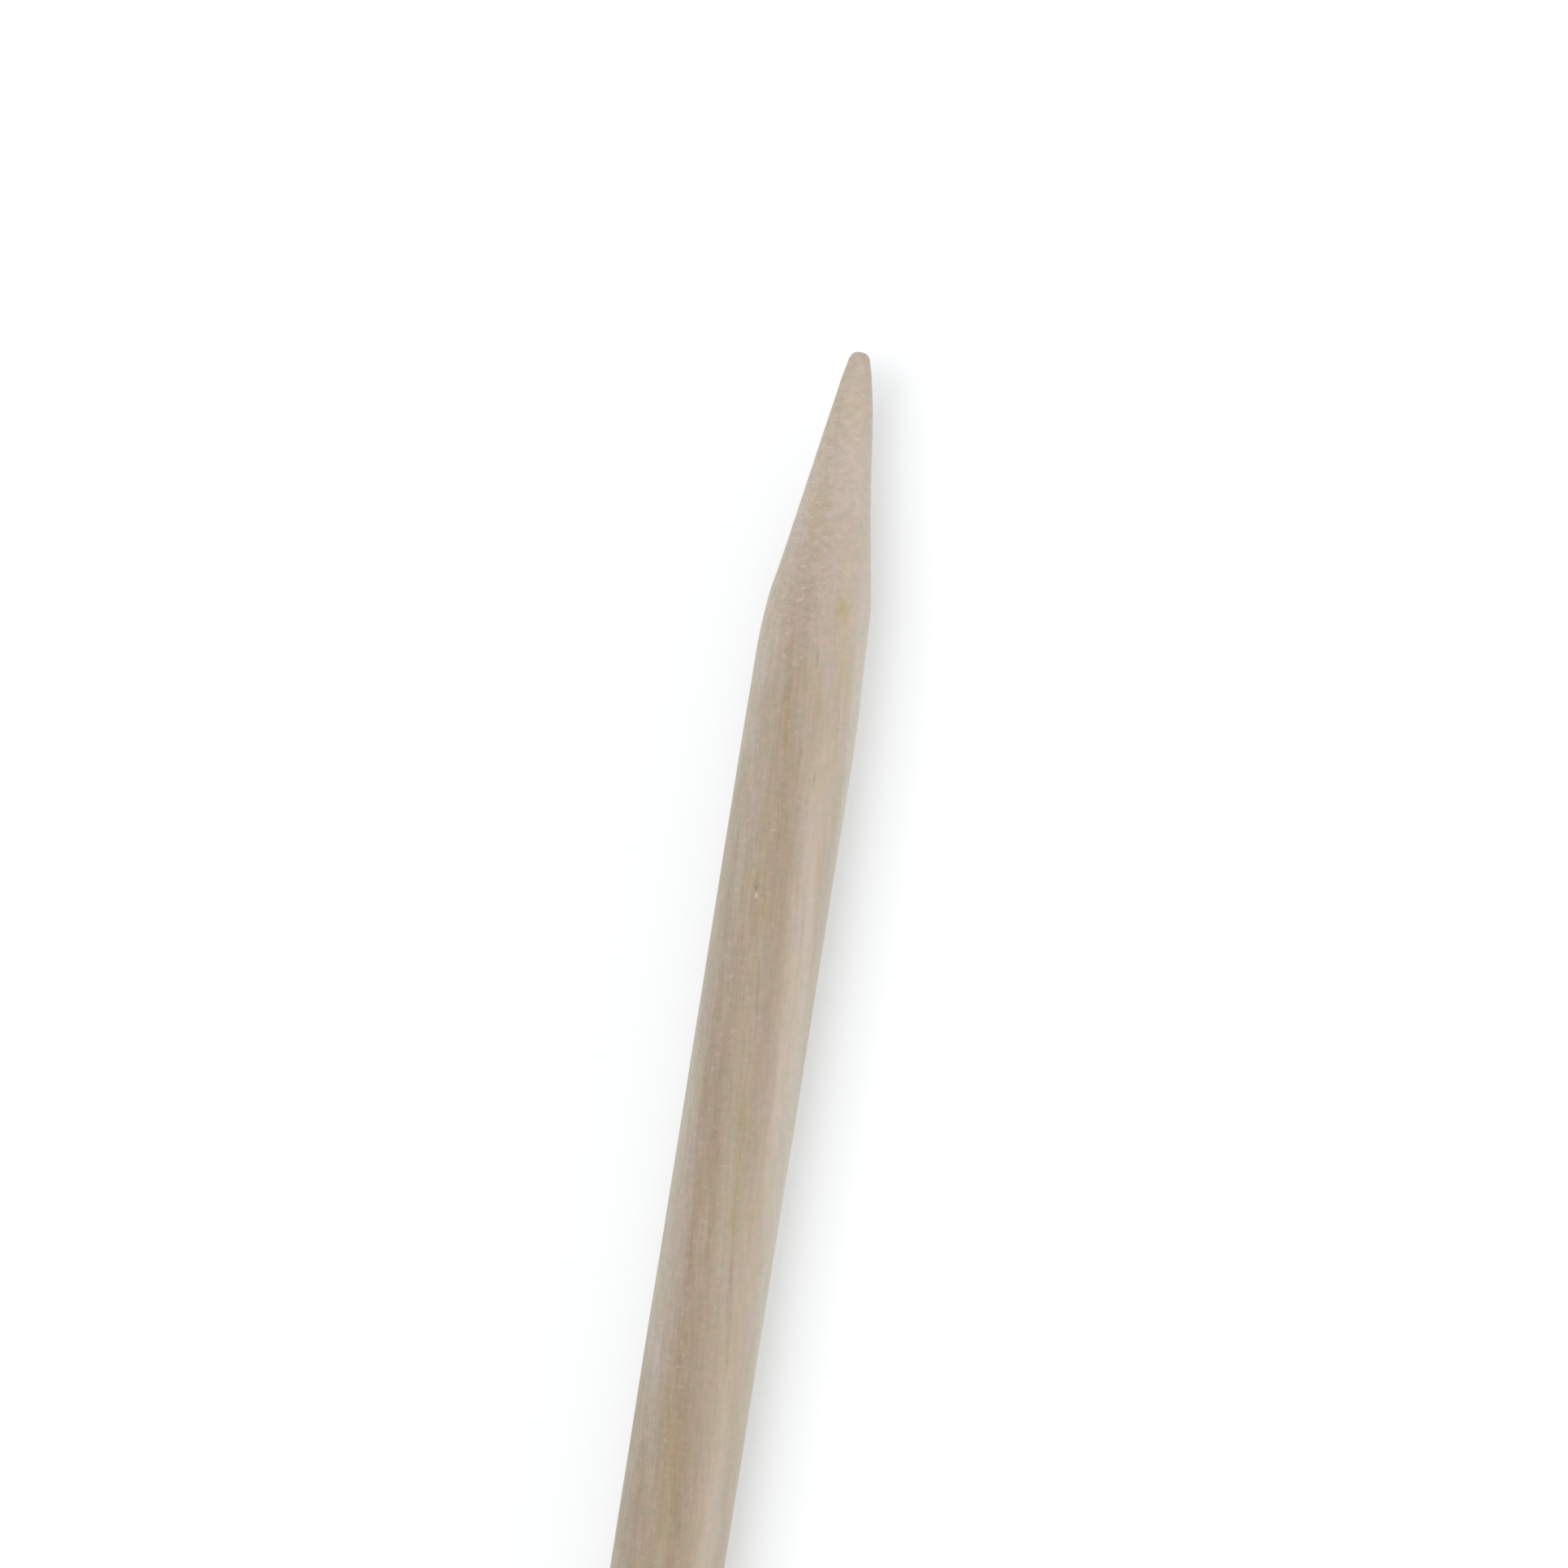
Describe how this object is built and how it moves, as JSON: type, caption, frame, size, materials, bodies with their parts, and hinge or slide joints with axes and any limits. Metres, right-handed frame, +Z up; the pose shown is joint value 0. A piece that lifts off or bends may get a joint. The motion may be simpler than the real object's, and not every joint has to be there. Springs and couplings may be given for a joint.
{
  "type": "cuticle pusher",
  "caption": "Slim round wooden manicure stick with a blunt conical point at one end and a slanted flat pushing face at the other.",
  "frame": {"origin": "on the shaft's axis, at the middle of the stick's length", "axes": "+X along the stick towards the conical point, +Y across the stick, +Z up and out of the side that the slanted face is cut into"},
  "size_m": [0.115, 0.004, 0.004],
  "materials": {
    "wood": "bare pale hardwood, fine sanded and unsealed, with a matte, faintly fibrous surface"
  },
  "bodies": {
    "root": {"stick": "wood"}
  },
  "joints": []
}
